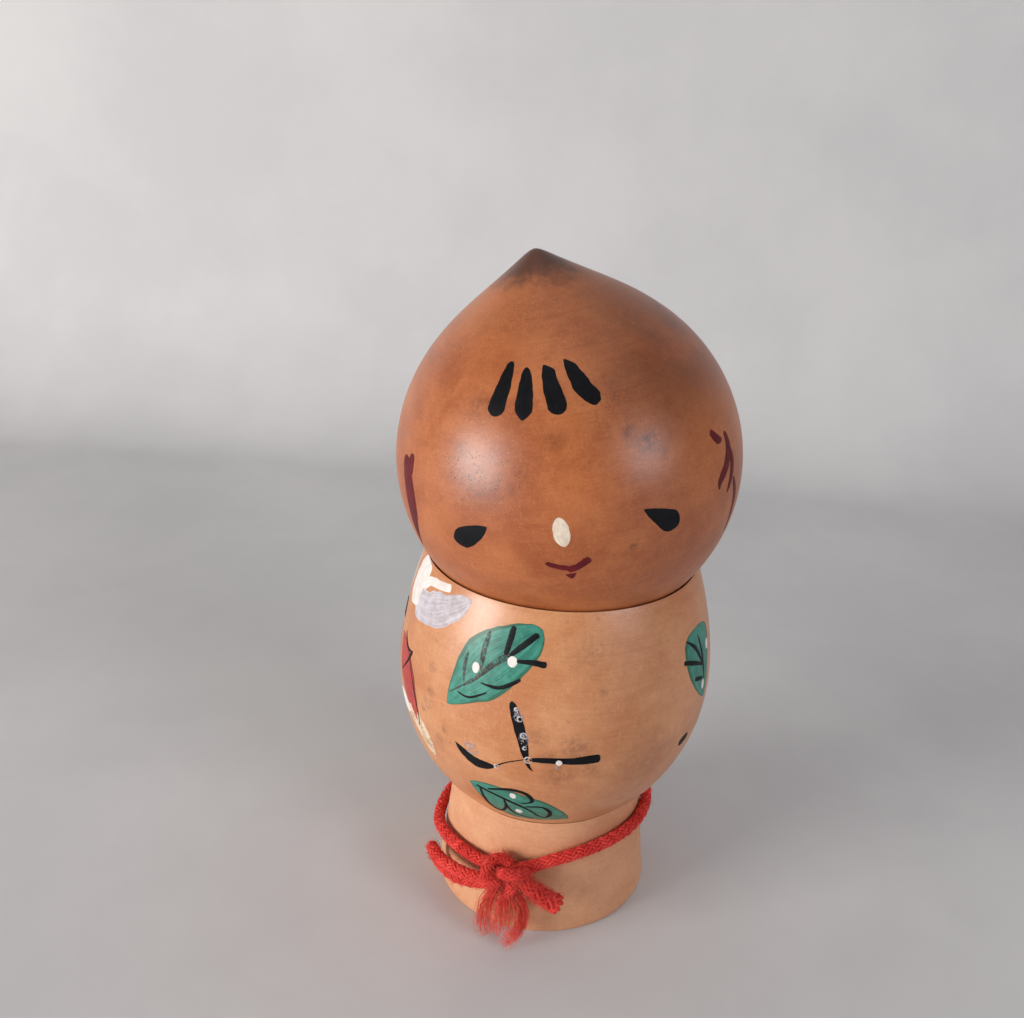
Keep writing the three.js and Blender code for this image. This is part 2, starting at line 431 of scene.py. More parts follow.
def cord_finish(name, deep, bright):
    """Dyed braid, with painted shade that turns it a deeper red towards the knot's middle."""
    f = Finish(name, sheen_weight=0.35, sheen_roughness=0.4, specular_ior_level=0.25)
    f.paint({"Sheen Tint": color(255, 150, 150)})
    run = f.along()
    yarn = f.noise(f.stretched(run, (0.9, 9.0, 1.0)), 1.0, 3, 0.6)
    blotch = f.noise(f.here(), 260, 3, 0.6)
    tone = yarn.band(0.35, 0.68) * 0.65 + blotch.band(0.35, 0.7) * 0.35
    base = f.mix(tone, deep, bright)
    # Painted shade: the braid goes deep red towards the point inside the knot.
    inside = f.distance(f.here(), tuple(knot_core)).band(3.4 * MM, 1.2 * MM)
    base = f.mix(inside * 0.6, base, color(112, 8, 14))
    f.paint({"Base Color": base, "Roughness": 0.62 + yarn * 0.3, "Normal": f.bump(yarn, 0.06 * MM)})
    return f


red_cord = cord_finish("red_braid", color(182, 26, 26), color(250, 86, 74))
red_yarn = cord_finish("red_yarn", color(212, 38, 34), color(252, 110, 90))
rng = np.random.default_rng(7)

RING_TRIM = 6  # steps at each end of the ring that the knot hides
ring_route = smooth_route([beside_pedestal(*p) for p in RING_ROUTE], BRAID_STEP)[RING_TRIM:-RING_TRIM]
bow_route = smooth_route([beside_pedestal(*p) for p in BOW_ROUTE], BRAID_STEP)
ring = braided("cord_ring_braid", ring_route, BRAID_RADIUS, BRAID_PITCH, red_cord)
bow = braided("cord_bow_braid", bow_route, BRAID_RADIUS, BRAID_PITCH, red_cord)

knot_angle = math.radians(KNOT_AZIMUTH)
knot_across = np.array((math.cos(knot_angle), math.sin(knot_angle), 0))
knot_out = np.array((math.sin(knot_angle), -math.cos(knot_angle), 0))
knot_up = np.array((0.0, 0.0, 1.0))


def knot_point(across, out, up):
    """A point by its millimetres from the knot's middle: to the side, off the wood and up."""
    return knot_centre + (knot_across * across + knot_out * out + knot_up * up) * MM


# The knot is a three-lobed overhand loop, flattened against the pedestal.
KNOT_WIDTH = 3.3
KNOT_DEPTH = 1.7
KNOT_RISE = 2.6
LOBE_REACH = 2.7
knot_loop = np.array([
    knot_point(KNOT_WIDTH * (math.sin(t) + 2 * math.sin(2 * t)) / LOBE_REACH,
               -KNOT_DEPTH * math.sin(3 * t),
               KNOT_RISE * (math.cos(t) - 2 * math.cos(2 * t)) / LOBE_REACH)
    for t in np.linspace(0, 2 * math.pi, 120)
])
knot = braided("cord_knot_braid", smooth_route(knot_loop[::2], 0.25 * MM), 1.12 * MM, 7 * MM, red_cord)

stub_route = smooth_route([beside_pedestal(*p) for p in STUB_ROUTE], 0.25 * MM)
stub_run = np.linspace(0, 1, len(stub_route))
stub_swell = 1 + 0.3 * stub_run + 0.3 * stub_run**2
stub = braided("cord_end_cut_braid", stub_route, 1.2 * MM, 11 * MM, red_cord, stub_swell)


def loose_yarn(lines, radii, route, count, spread):
    """Adds the separate fibres of an opened yarn, which wander about its route."""
    middle = smooth_route([beside_pedestal(*p) for p in route], 1 * MM)
    at = np.linspace(0, len(middle) - 1, FIBRE_STEPS)
    middle = np.stack([np.interp(at, np.arange(len(middle)), middle[:, k]) for k in range(3)], axis=1)
    across, up = sides_of(middle)
    run = np.linspace(0, 1, FIBRE_STEPS)
    for _ in range(count):
        angle, reach = rng.uniform(0, 2 * math.pi), spread * math.sqrt(rng.uniform(0.02, 1))
        wave, phase, open_out = rng.uniform(4, 10), rng.uniform(0, 6.28), rng.uniform(0.5, 1 + FIBRE_STRAY)
        width = reach * (0.4 + 0.8 * np.sin(2.2 * run) * open_out) + 0.2 * MM * np.sin(wave * run + phase)
        swing = angle + 2.0 * run * rng.uniform(-1, 1)
        line = middle + width[:, None] * (across * np.cos(swing)[:, None] + up * np.sin(swing)[:, None])
        line[:, 2] = np.maximum(line[:, 2], 0.16 * MM)
        stop = int(FIBRE_STEPS * rng.uniform(0.78, 1.0))
        lines.append(line[:stop])
        radii.append(FIBRE_RADIUS * rng.uniform(0.75, 1.2) * np.linspace(1.2, 0.45, stop))


fibres, fibre_radii = [], []
for route, count, spread in zip(TUFT_YARNS, YARN_FIBRES, YARN_SPREADS):
    loose_yarn(fibres, fibre_radii, route, count, spread)
tuft = tubes("cord_end_frayed_yarns", fibres, fibre_radii, 4, red_yarn)


def fuzz(name, route, count, start, length, lift, thickness):
    """Fine fibres about that length, which start that far from a cord's middle and lift off its surface."""
    across, up = sides_of(route)
    lines, radii = [], []
    for _ in range(count):
        at = rng.integers(2, len(route) - 2)
        angle = rng.uniform(0, 2 * math.pi)
        out = across[at] * math.cos(angle) + up[at] * math.sin(angle)
        ahead = route[at + 1] - route[at - 1]
        ahead /= np.linalg.norm(ahead)
        way = ahead * rng.uniform(-1, 1) + np.cross(out, ahead) * rng.uniform(-0.8, 0.8)
        run = np.linspace(0, 1, 6)[:, None]
        reach = length * rng.uniform(0.5, 1.2)
        rise = lift * rng.uniform(0.3, 1.3) * np.sin(2.4 * run)
        line = route[at] + out * start + way * reach * run + out * rise
        line[:, 2] = np.maximum(line[:, 2], 0.1 * MM)
        lines.append(line)
        radii.append(thickness * np.linspace(1, 0.5, 6))
    return tubes(name, lines, radii, 3, red_yarn)


ring_fuzz = fuzz("cord_ring_fuzz", ring_route, 700, 1.05 * MM, 1.3 * MM, 0.4 * MM, 0.026 * MM)
bow_fuzz = fuzz("cord_bow_fuzz", bow_route, 420, 1.05 * MM, 1.4 * MM, 0.5 * MM, 0.028 * MM)
knot_fuzz = fuzz("cord_knot_fuzz", knot_loop, 1100, 0.95 * MM, 2.0 * MM, 0.85 * MM, 0.032 * MM)
stub_fuzz = fuzz("cord_end_cut_fuzz", stub_route, 700, 1.2 * MM, 1.8 * MM, 0.75 * MM, 0.032 * MM)

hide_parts("cord_ring")
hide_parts("cord_bow")
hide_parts("cord_knot")
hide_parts("cord_end_cut")
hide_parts("cord_end_frayed")
for piece in (ring, bow, knot, stub, tuft, ring_fuzz, bow_fuzz, knot_fuzz, stub_fuzz):
    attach(piece, "cord")
round(route_length(ring_route), 4)
round(route_length(bow_route), 4)


# --- finishes of the wood ---

def smudge(f, place, points):
    """A mask with a spot for each smudge, given as its point, size in millimetres and strength."""
    total = None
    for point, size, strength in points:
        spot = f.distance(place, tuple(point)).band(size * MM, size * 0.15 * MM) * strength
        total = spot if total is None else total.most(spot)
    return total


LATHE_LINE_DEPTH = 0.012 * MM


def turned_wood(name, tones, centre, lean, roughness, coat, smudges=(), specks=(), tip=False):
    """Stained turned wood, with lathe lines about its axis, small pores and a patchy stain.

    Its tones are deep, middle, pale and a dark tone that serves for dirt and painted shade. Smudges are
    rubbed-in dirt and specks are fine dots. With tip, the wood goes dark towards its top and its upper
    side towards +X is darkened as painted shade.
    """
    deep, middle, pale, dirt_and_shade = tones
    f = Finish(name, specular_ior_level=0.45, coat_roughness=0.32)
    place = f.here()
    shifted = f.node("VectorMath", {"operation": "SUBTRACT"}, {0: place, 1: tuple(centre)})
    lathe = f.node("Mapping", {"vector_type": "POINT"}, {"Vector": shifted, "Rotation": (0, lean, 0)})
    patch = f.noise(lathe, 70, 4, 0.6, 0.4)
    cloud = f.noise(f.stretched(lathe, (120, 120, 200)), 1, 5, 0.62, 0.6)
    lines = f.noise(f.stretched(lathe, (45, 45, 2600)), 1, 4, 0.65)
    fine = f.noise(f.stretched(lathe, (700, 700, 3200)), 1, 2, 0.6)
    grain = f.noise(f.stretched(lathe, (1500, 1500, 420)), 1, 3, 0.7)
    pores = f.cells(f.stretched(lathe, (1150, 1150, 800)), 1.0).band(0.17, 0.05)
    pores = pores * f.noise(lathe, 230, 2, 0.5).band(0.5, 0.68)
    tone = (patch * 0.45 + cloud * 0.4 + lines * 0.15).band(0.36, 0.64)
    base = f.mix(tone, deep, middle)
    grit = f.noise(lathe, 3400, 3, 0.7)
    lighter = grain.band(0.5, 0.75) * 0.18 + fine.band(0.45, 0.8) * 0.14 + grit.band(0.5, 0.72) * 0.35
    base = f.mix(lighter, base, pale)
    darker = lines.band(0.43, 0.25) * 0.24 + grain.band(0.45, 0.25) * 0.3 + grit.band(0.46, 0.26) * 0.5
    base = f.mix(darker, base, deep)
    flecks = f.noise(f.stretched(lathe, (900, 900, 1500)), 1, 3, 0.75).band(0.6, 0.72)
    base = f.mix(flecks * patch.band(0.4, 0.6) * 0.35, base, dirt_and_shade)
    base = f.mix(pores * 0.6, base, dirt_and_shade)
    if smudges:
        rag = f.noise(lathe, 900, 4, 0.7).band(0.3, 0.65)
        base = f.mix(smudge(f, place, smudges) * rag, base, dirt_and_shade)
    if specks:
        dots = f.cells(lathe, 2400).band(0.4, 0.22) * f.noise(lathe, 420, 2, 0.5).band(0.4, 0.52)
        base = f.mix(smudge(f, place, specks) * dots, base, color(60, 32, 24))
    if tip:
        rise = f.part(lathe, "Z")
        ragged = rise + (f.noise(lathe, 420, 4, 0.7) - 0.5) * (4.5 * MM)
        base = f.mix(ragged.band(29.3 * MM, 33.0 * MM) * 0.88, base, color(66, 34, 22))
        # Painted shade: the upper side of the head towards +X is darkened with the fourth, darkest tone.
        turned_side = f.part(lathe, "X")
        shade = turned_side.band(2 * MM, 22 * MM) * rise.band(4 * MM, 22 * MM) * patch.band(0.25, 0.6)
        base = f.mix(shade * 0.8, base, dirt_and_shade)
    f.paint({
        "Base Color": base,
        "Roughness": roughness + (cloud - 0.5) * 0.22 + pores * 0.2 + (lines - 0.5) * 0.12,
        "Coat Weight": coat * (0.55 + patch * 0.8),
        "Normal": f.bump(
            lines * 0.7 + fine * 0.3 - pores * 0.7, LATHE_LINE_DEPTH, f.bump(cloud, 0.05 * MM),
        ),
    })
    return f


head_smudges = [
    (on_head(28.8, 18.3), 2.6, 0.85), (on_head(24.5, 21.8), 2.0, 0.6), (on_head(32.9, 13.8), 1.8, 0.55),
    (on_head(-26, 36.5), 3.0, 0.4), (on_head(-30.5, 23.3), 1.6, 0.6), (on_head(-24, 14), 5.5, 0.32),
    (on_head(-14.5, 12), 1.4, 0.4), (on_head(19, -12), 1.0, 0.6), (on_head(24, 38), 2.6, 0.35),
    (on_head(1, 25), 2.4, 0.35), (on_head(23, 33), 1.0, 0.5), (on_head(24, 31.5), 0.9, 0.4),
]
# A short dark crack runs down from the tip.
for t in np.linspace(0, 1, 6):
    head_smudges.append((on_head(-8 - 14 * (1 - t) ** 2, 85 - 6.5 * t), 0.55, 1.0 - 0.2 * t))
head_specks = [
    (on_head(-26, 17), 7.0, 1.0), (on_head(-33, 17.5), 3.5, 1.0), (on_head(-17, 15), 5.0, 1.0),
    (on_head(-30, 11), 4.0, 0.8), (on_head(29, 18), 4.5, 0.8), (on_head(22, 30), 8.0, 0.35),
    (on_head(-8, 66), 6.0, 0.4),
]
ball_smudges = [
    (on_ball(9, 46), 4.0, 0.55), (on_ball(4, 40.4), 4.2, 0.45), (on_ball(-4, 48), 3.0, 0.4),
    (on_ball(0, 44), 3.0, 0.4), (on_ball(15, 42), 3.0, 0.4), (on_ball(-48, 47), 3.0, 0.35),
    (on_ball(-42, 41), 2.5, 0.4), (on_ball(38, 41), 9.0, 0.28), (on_ball(12, 62), 5.0, 0.25),
    (on_ball(17, 56), 1.2, 0.6), (on_ball(-50.5, 45.5), 1.3, 0.6), (on_ball(-46.5, 49.5), 1.6, 0.5),
    (on_ball(-39, 44), 1.2, 0.5), (on_ball(-47, 54), 1.8, 0.35),
]
# The head's last tone colours its dirt and also its painted shade.
head_wood = turned_wood(
    "stained_head_wood",
    (color(150, 76, 36), color(182, 106, 58), color(206, 136, 82), color(80, 40, 26)),
    HEAD_CENTRE, HEAD_COCK, 0.42, 0.3, head_smudges, head_specks, tip=True,
)
ball_wood = turned_wood(
    "stained_ball_wood",
    (color(186, 116, 70), color(208, 146, 100), color(224, 170, 126), color(106, 62, 40)),
    Vector((0, 0, BALL_WAIST)), 0, 0.42, 0.4, ball_smudges,
)
pedestal_wood = turned_wood(
    "bare_pedestal_wood",
    (color(200, 138, 98), color(216, 160, 120), color(230, 182, 146), color(146, 94, 64)),
    Vector((0, 0, 0)), 0, 0.62, 0.0, [(on_ball(-30, 20), 5.0, 0.2)],
)
dowel_wood = turned_wood(
    "bare_dowel_wood",
    (color(196, 150, 104), color(214, 172, 126), color(228, 190, 146), color(140, 100, 66)),
    Vector((0, 0, 0)), 0, 0.65, 0.0,
)


# --- turned wood ---

def edit(piece):
    """Opens a piece for editing with all of it selected."""
    bpy.ops.object.select_all(action="DESELECT")
    piece.select_set(True)
    bpy.context.view_layer.objects.active = piece
    bpy.ops.object.mode_set(mode="EDIT")
    bpy.ops.mesh.select_all(action="SELECT")


def turned(name, outline, steps, finish, centre=Vector((0, 0, 0)), lean=0.0):
    """Draws an outline of [radius, height] points point by point and spins it about its axis."""
    turn_up = Matrix.Rotation(lean, 3, "Y")
    points = [centre + turn_up @ Vector((radius, 0, height)) for radius, height in outline]
    bpy.ops.object.select_all(action="DESELECT")
    bpy.ops.mesh.primitive_plane_add(size=MM, location=points[0])
    piece = bpy.context.object
    piece.name = name
    bpy.ops.object.transform_apply(location=True, rotation=True, scale=True)
    edit(piece)
    bpy.ops.mesh.merge(type="CENTER")
    for here, there in zip(points, points[1:]):
        bpy.ops.mesh.extrude_vertices_move(TRANSFORM_OT_translate={"value": tuple(there - here)})
    bpy.ops.mesh.select_all(action="SELECT")
    axis = tuple(turn_up @ Vector((0, 0, 1)))
    bpy.ops.mesh.spin(steps=steps, angle=2 * math.pi, center=tuple(centre), axis=axis)
    bpy.ops.mesh.select_all(action="SELECT")
    bpy.ops.mesh.remove_doubles(threshold=0.004 * MM)
    bpy.ops.mesh.select_all(action="SELECT")
    bpy.ops.mesh.normals_make_consistent(inside=False)
    bpy.ops.object.mode_set(mode="OBJECT")
    bpy.ops.object.shade_smooth_by_angle(angle=math.radians(28))
    piece.data.materials.clear()
    piece.data.materials.append(finish.material)
    return piece


HEAD_BOTTOM = HEAD_CENTRE.z - HEAD_RADIUS
DISH_BOTTOM = HEAD_BOTTOM - GAP
BALL_BOTTOM = BALL_WAIST - BALL_LOWER_DEPTH
DISH_RADIUS = HEAD_RADIUS + GAP
SEAT_GAP = 0.04 * MM


def dish_height(radius):
    """The dished seat under the head."""
    return HEAD_CENTRE.z - math.sqrt(DISH_RADIUS**2 - radius**2)


def ball_underside(radius, swell):
    """The height of the ball's underside, swelled outwards by a gap."""
    return BALL_WAIST - (BALL_LOWER_DEPTH + swell) * math.sqrt(1 - (radius / (BALL_RADIUS + swell)) ** 2)


def last_height(low, high, below):
    """The last height from low to high at which below is still true."""
    for _ in range(50):
        middle = (low + high) / 2
        if below(middle):
            low = middle
        else:
            high = middle
    return low


def under_rim(height):
    """Whether the ball's outside at a height is still clear of the dish."""
    return ball_radius(height) ** 2 + (height - HEAD_CENTRE.z) ** 2 >= DISH_RADIUS**2


def under_seat(height):
    """Whether the pedestal's side at a height is still under the ball."""
    return ball_underside(pedestal_radius(height), SEAT_GAP) > height


# The ball's outline: the base dowel's hole, the outside, a blunt rim, the dish and the neck dowel's hole.
rim_height = last_height(60 * MM, 72 * MM, under_rim)
rim_radius = ball_radius(rim_height)
ball_hole_top = BALL_BOTTOM + BALL_HOLE_DEPTH
outline = [(0, ball_hole_top), (HOLE_RADIUS, ball_hole_top)]
lowest = math.asin(HOLE_RADIUS / BALL_RADIUS)
for angle in np.linspace(lowest, math.pi / 2, 44):
    outline.append((BALL_RADIUS * math.sin(angle), BALL_WAIST - BALL_LOWER_DEPTH * math.cos(angle)))
for height in np.linspace(BALL_WAIST, rim_height - 0.12 * MM, 30)[1:]:
    outline.append((ball_radius(height), height))
outline.append((rim_radius - 0.02 * MM, rim_height - 0.01 * MM))
for radius in np.linspace(rim_radius - 0.16 * MM, HOLE_RADIUS, 18):
    outline.append((radius, dish_height(radius)))
neck_hole_bottom = DISH_BOTTOM - BALL_HOLE_DEPTH
outline += [(HOLE_RADIUS, neck_hole_bottom), (0, neck_hole_bottom)]
ball = turned("turned_ball", outline, 192, ball_wood)

# The head's outline, with its points closer together towards the tip.
outline = []
for i in range(97):
    angle = math.pi * (1 - i / 96) ** 1.25
    outline.append((head_reach(angle) * math.sin(angle), head_reach(angle) * math.cos(angle)))
outline[0], outline[-1] = (0, outline[0][1]), (0, outline[-1][1])
head = turned("turned_head", outline, 192, head_wood, HEAD_CENTRE, -HEAD_COCK)

# The pedestal's outline: the flat foot with a round edge, the side, the hollow seat and the dowel's hole.
seat_height = last_height(18 * MM, 23 * MM, under_seat)
seat_radius = pedestal_radius(seat_height)
outline = [(0, 0), (FOOT_RADIUS - FOOT_ROUND, 0)]
for angle in np.linspace(0, math.pi / 2, 6)[1:]:
    outline.append((FOOT_RADIUS - FOOT_ROUND * (1 - math.sin(angle)), FOOT_ROUND * (1 - math.cos(angle))))
for height in np.linspace(FOOT_ROUND, seat_height - 0.06 * MM, 14)[1:]:
    outline.append((pedestal_radius(height), height))
for radius in np.linspace(seat_radius - 0.1 * MM, HOLE_RADIUS, 16):
    outline.append((radius, ball_underside(radius, SEAT_GAP)))
base_hole_bottom = BALL_BOTTOM - PEDESTAL_HOLE_DEPTH
outline += [(HOLE_RADIUS, base_hole_bottom), (0, base_hole_bottom)]
pedestal = turned("turned_pedestal", outline, 160, pedestal_wood)

# The neck dowel's hole runs up the doll's own axis into the leaning head.
DRILL_LENGTH = 25 * MM
bpy.ops.object.select_all(action="DESELECT")
drill_middle = HEAD_BOTTOM + HEAD_HOLE_DEPTH - DRILL_LENGTH / 2
bpy.ops.mesh.primitive_cylinder_add(
    vertices=48, radius=HOLE_RADIUS, depth=DRILL_LENGTH, location=(0, 0, drill_middle),
)
drill = bpy.context.object
bpy.ops.object.select_all(action="DESELECT")
bpy.context.view_layer.objects.active = head
head.select_set(True)
bore = head.modifiers.new("bore", "BOOLEAN")
bore.operation, bore.object, bore.solver = "DIFFERENCE", drill, "EXACT"
bpy.ops.object.modifier_apply(modifier="bore")
bpy.data.objects.remove(drill)

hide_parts("head")
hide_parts("ball_body")
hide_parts("pedestal")
for piece, body, slot in (
    (head, "head", "head_wood"), (ball, "doll", "body_wood"), (pedestal, "doll", "pedestal_wood"),
):
    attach(piece, body)
for node in ("base_dowel", "neck_dowel"):
    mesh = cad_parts[node].data
    mesh.materials.clear()
    mesh.materials.append(dowel_wood.material)


# --- brushed paint ---

PAINT_THICKNESS = 0.05 * MM


def paint_finish(name, thin, thick, roughness, dry=0.0, edge=None, shine=0.35):
    """Brushed paint between a thin and a thick color, streaked along the stroke.

    The more dry it is, the more it is rubbed through. An edge color darkens its border.
    """
    f = Finish(name, specular_ior_level=shine, coat_roughness=0.25)
    run = f.along()
    across, down = f.part(run, "X"), f.part(run, "Y")
    streak = f.noise(f.stretched(run, (2.2, 26, 1)), 1, 3, 0.6, 0.3)
    cloud = f.noise(f.here(), 620, 4, 0.6)
    base = f.mix((streak * 0.6 + cloud * 0.4).band(0.36, 0.64), thin, thick)
    middle = 1 - f.node("Math", {"operation": "ABSOLUTE"}, {0: down * 2 - 1})
    if edge is not None:
        border = middle.least(across.least(1 - across) * 3.0)
        base = f.mix((border + (cloud - 0.5) * 0.12).band(0.2, 0.06) * 0.8, base, edge)
    f.paint({
        "Base Color": base,
        "Roughness": roughness + (streak - 0.5) * 0.3,
        "Coat Weight": cloud * (shine * 0.4),
        "Normal": f.bump(streak, 0.03 * MM),
    })
    if dry:
        rub = f.noise(f.here(), 1900, 3, 0.7) * 0.55 + streak * 0.45
        f.paint({"Alpha": rub.band(dry - 0.07, dry + 0.03)})
    return f


def smooth_values(values, at):
    """Values at even places from 0 to 1, read anywhere between them along a smooth curve."""
    values = np.array(values, float)
    places = np.array(at) * (len(values) - 1)
    low = np.clip(places.astype(int), 0, len(values) - 2)
    t = places - low
    a, b = values[low], values[low + 1]
    before, after = values[np.maximum(low - 1, 0)], values[np.minimum(low + 2, len(values) - 1)]
    if values.ndim > 1:
        t = t[:, None]
    return 0.5 * (2 * a + (b - before) * t + (2 * before - 5 * a + 4 * b - after) * t**2
                  + (3 * a - before - 3 * b + after) * t**3)


def stroke(surface, line, widths, lift, steps=28, rows=8, wobble=0.06, round_off=(1.0, 1.0)):
    """One brush stroke along a line on the wood, with its measures in millimetres.

    The line is a few places on the surface. A width is the stroke's reach to both sides, or a pair for
    the left and the right, evenly spaced along it. Its two ends round off over the lengths in round_off.
    """
    onto, drop, normal = surface
    bpy.ops.object.select_all(action="DESELECT")
    bpy.ops.mesh.primitive_grid_add(x_subdivisions=steps, y_subdivisions=rows, size=2)
    piece = bpy.context.object
    at = np.linspace(0, 1, steps + 1)
    ease = 0.5 - 0.5 * np.cos(math.pi * at)
    middle = smooth_values([onto(*p) for p in line], ease)
    widths = [(w, w) if isinstance(w, (int, float)) else w for w in widths]
    reach = np.maximum(smooth_values(widths, ease), 0.04)
    along = np.concatenate([[0], np.cumsum(np.linalg.norm(np.diff(middle, axis=0), axis=1))]) / MM
    for gone, length in ((along, round_off[0]), (along[-1] - along, round_off[1])):
        near = np.clip(gone / length, 0, 1)
        reach = reach * np.maximum(np.sqrt(1 - (1 - near) ** 2), 0.03)[:, None]
    ripple = rng.normal(0, wobble, (steps + 1, 2))
    ripple = (ripple + np.roll(ripple, 1, axis=0)) / 2
    reach = reach * (1 + ripple)
    ahead = np.gradient(middle, axis=0)
    for vert in piece.data.vertices:
        i = round((vert.co.x + 1) / 2 * steps)
        side = vert.co.y
        out = normal(Vector(middle[i]))
        left = out.cross(Vector(ahead[i])).normalized()
        far = reach[i][0] if side > 0 else reach[i][1]
        target = Vector(middle[i]) + left * (side * far * MM)
        vert.co = drop(target, (lift * (1 - 0.45 * side**4)) * MM)
    return piece


def painted(name, pieces, finish, body):
    """Joins strokes into one piece and gives the paint its thickness."""
    bpy.ops.object.select_all(action="DESELECT")
    for piece in pieces:
        piece.select_set(True)
    bpy.context.view_layer.objects.active = pieces[0]
    if len(pieces) > 1:
        bpy.ops.object.join()
    made = bpy.context.object
    made.name = name
    bpy.ops.object.transform_apply(location=True, rotation=True, scale=True)
    edit(made)
    bpy.ops.mesh.remove_doubles(threshold=0.001 * MM)
    bpy.ops.object.mode_set(mode="OBJECT")
    film = made.modifiers.new("film", "SOLIDIFY")
    film.thickness, film.offset = PAINT_THICKNESS, -1
    bpy.ops.object.modifier_apply(modifier="film")
    bpy.ops.object.shade_smooth_by_angle(angle=math.radians(40))
    made.data.materials.clear()
    made.data.materials.append(finish.material)
    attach(made, body)
    return made


black = paint_finish("black_brush_paint", color(9, 9, 12), color(22, 23, 28), 0.5, shine=0.12)
rubbed_black = paint_finish("rubbed_vein_paint", color(28, 36, 36), color(104, 92, 88), 0.55, dry=0.5,
                            shine=0.2)
vein_black = paint_finish("vein_paint", color(9, 9, 12), color(30, 32, 34), 0.5, dry=0.39, shine=0.12)
nose_white = paint_finish("cream_paint", color(206, 186, 162), color(236, 224, 206), 0.55)
petal_white = paint_finish("white_petal_paint", color(216, 206, 200), color(244, 238, 232), 0.5)
petal_wash = paint_finish("cream_wash_paint", color(206, 172, 136), color(232, 214, 190), 0.6, dry=0.46,
                          shine=0.2)
petal_grey = paint_finish("grey_petal_paint", color(170, 160, 164), color(210, 204, 210), 0.5)
leaf_green = paint_finish("leaf_green_paint", color(36, 106, 92), color(70, 150, 130), 0.42,
                          edge=color(44, 92, 66))
hair_red = paint_finish("red_brown_paint", color(74, 14, 20), color(112, 28, 34), 0.5, shine=0.2)
petal_red = paint_finish("red_petal_paint", color(156, 48, 46), color(190, 74, 66), 0.45,
                         edge=color(84, 22, 26))

# How high the paint's layers lie on the wood, in millimetres.
FILM = 0.045
OVER = 0.075
TOP = 0.105


# --- hair and face ---

# Places on the head are its own longitude and latitude in degrees.
painted("painted_bangs", [
    stroke(HEAD, [(-13.7, 49.6), (-16.2, 42.5), (-19.4, 33.0)], [0.4, 0.7, 0.95, 1.15, 1.3, 1.2], FILM,
           round_off=(0.5, 1.2)),
    stroke(HEAD, [(-7.0, 47.2), (-7.7, 39.5), (-9.1, 31.2)], [0.3, 0.75, 1.05, 1.3, 1.25, 0.25], FILM,
           round_off=(0.4, 0.3)),
    stroke(HEAD, [(0.2, 47.3), (2.2, 40), (4.0, 31.6)],
           [(0.1, 0.1), (1.15, 0.65), (1.2, 1.05), (1.3, 1.3), (1.4, 1.4), (1.3, 1.3)],
           FILM, round_off=(0.2, 1.4)),
    stroke(HEAD, [(9.0, 48.0), (12.6, 40.5), (16.3, 32.3)],
           [(0.1, 0.1), (0.95, 0.6), (1.3, 1.05), (1.4, 1.35), (1.55, 1.0), (1.0, 0.25)],
           FILM, round_off=(0.2, 0.4)),
], black, "head")
painted("painted_eyes", [
    stroke(HEAD, [(-24.0, 0.3), (-31.0, -2.4), (-37.7, -5.2)],
           [(0.1, 0.1), (1.2, 0.85), (1.85, 1.35), (2.0, 1.45), (1.6, 1.1)],
           FILM, round_off=(0.2, 2.3), wobble=0.02),
    stroke(HEAD, [(23.6, -0.9), (29.5, -5.4), (35.0, -9.7)],
           [(0.1, 0.1), (0.8, 0.85), (1.45, 1.5), (1.8, 1.9), (1.5, 1.6)],
           FILM, round_off=(0.2, 2.2), wobble=0.02),
], black, "head")
painted("painted_nose", [
    stroke(HEAD, [(-1.6, 2.3), (-1.5, -2.5), (-1.3, -7.3)], [0.95, 1.15, 1.25, 1.2, 1.0], FILM, wobble=0.02,
           round_off=(2.0, 2.0)),
], nose_white, "head")
painted("painted_mouth", [
    stroke(HEAD, [(-8.1, -12.4), (-4.6, -14.2), (-0.4, -15.6)], [0.35, 0.42, 0.45, 0.5, 0.45], FILM,
           round_off=(0.4, 0.4)),
    stroke(HEAD, [(-1.9, -15.9), (1.6, -14.9), (5.5, -12.7)], [0.45, 0.6, 0.55, 0.6, 0.5], OVER,
           round_off=(0.2, 0.2)),
    stroke(HEAD, [(-1.2, -17.4), (-1.1, -19.4)], [0.95, 0.6, 0.12], FILM, steps=10, round_off=(0.1, 0.1)),
], hair_red, "head")
painted("painted_side_hair", [
    stroke(HEAD, [(54.4, 13.0), (57.2, 9.6), (59.6, 8.6)], [0.5, 0.75, 0.3], FILM, round_off=(0.3, 0.3)),
    stroke(HEAD, [(62.3, 10.2), (62.9, 5.6), (60, 0.4), (55.2, -3.2), (54.2, -6)], [0.4, 0.8, 0.9, 0.7, 0.15],
           FILM, round_off=(0.3, 0.3)),
    stroke(HEAD, [(62.9, 6.2), (64.2, 0.2), (62.4, -5.2), (59.2, -9)], [0.4, 0.7, 0.6, 0.2], OVER),
    stroke(HEAD, [(64.4, -5.6), (66.8, -13), (66.6, -19.5), (65.0, -26)], [0.4, 0.75, 0.55, 0.12], FILM),
    stroke(HEAD, [(-61.5, 17.6), (-59.6, 12), (-58.8, 2.5), (-61.0, -6), (-63, -14)],
           [0.9, 1.7, 1.8, 1.1, 0.15], FILM),
    stroke(HEAD, [(-55.6, 19.0), (-57.6, 13.8), (-60.0, 9)], [0.6, 1.0, 0.3], OVER),
], hair_red, "head")


# --- leaves ---

# Places on the ball are an azimuth in degrees and a height in millimetres.

